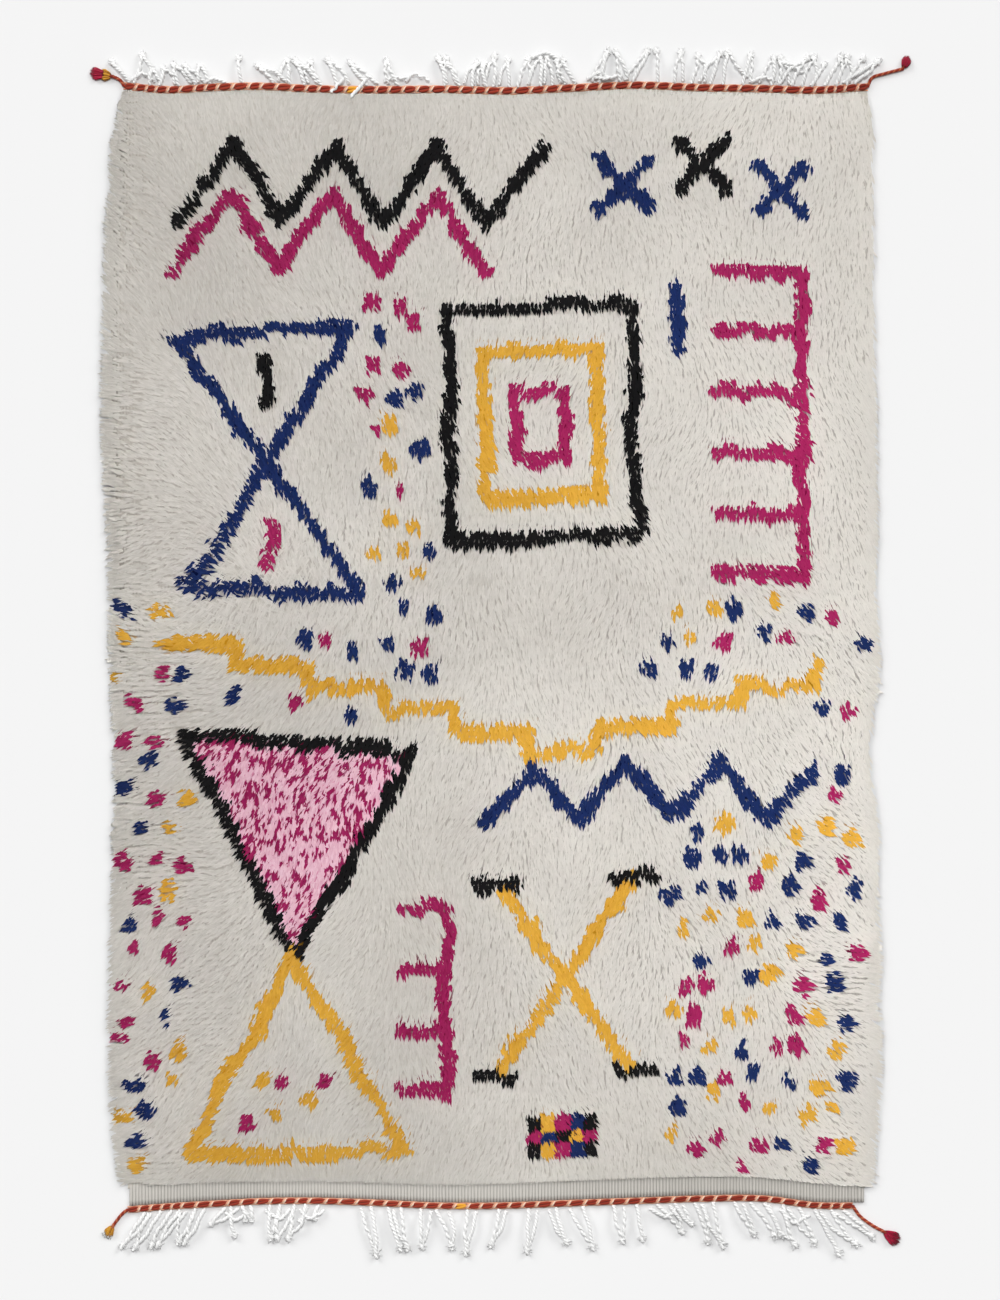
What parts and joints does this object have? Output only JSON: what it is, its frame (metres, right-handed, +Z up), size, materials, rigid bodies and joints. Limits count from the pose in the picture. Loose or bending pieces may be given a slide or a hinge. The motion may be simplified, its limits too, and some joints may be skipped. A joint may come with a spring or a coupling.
{
  "type": "azilal rug",
  "caption": "Rectangular knotted wool pile rug lying flat, with twined end cords, knotted warp fringe and corner tufts.",
  "frame": {"origin": "middle of the footprint, on the floor under the rug", "axes": "+Y along the rug's length, from the flat-woven end band to the other end; +X across its width; +Z up out of the pile"},
  "size_m": [1.6451, 2.428, 0.0168],
  "materials": {
    "cream_wool": "matte knotted wool pile",
    "brick_wool": "matte twined wool yarn",
    "white_cotton": "matte twisted cotton",
    "crimson_wool": "matte cut wool yarn",
    "gold_wool": "matte cut wool yarn"
  },
  "bodies": {
    "root": {"rug": "cream_wool", "edging_top": "brick_wool", "edging_bottom": "brick_wool", "fringe_top": "white_cotton", "fringe_bottom": "white_cotton", "tuft_top_left": "crimson_wool", "tuft_top_right": "crimson_wool", "tuft_bottom_left": "gold_wool", "tuft_bottom_right": "crimson_wool"}
  },
  "joints": []
}
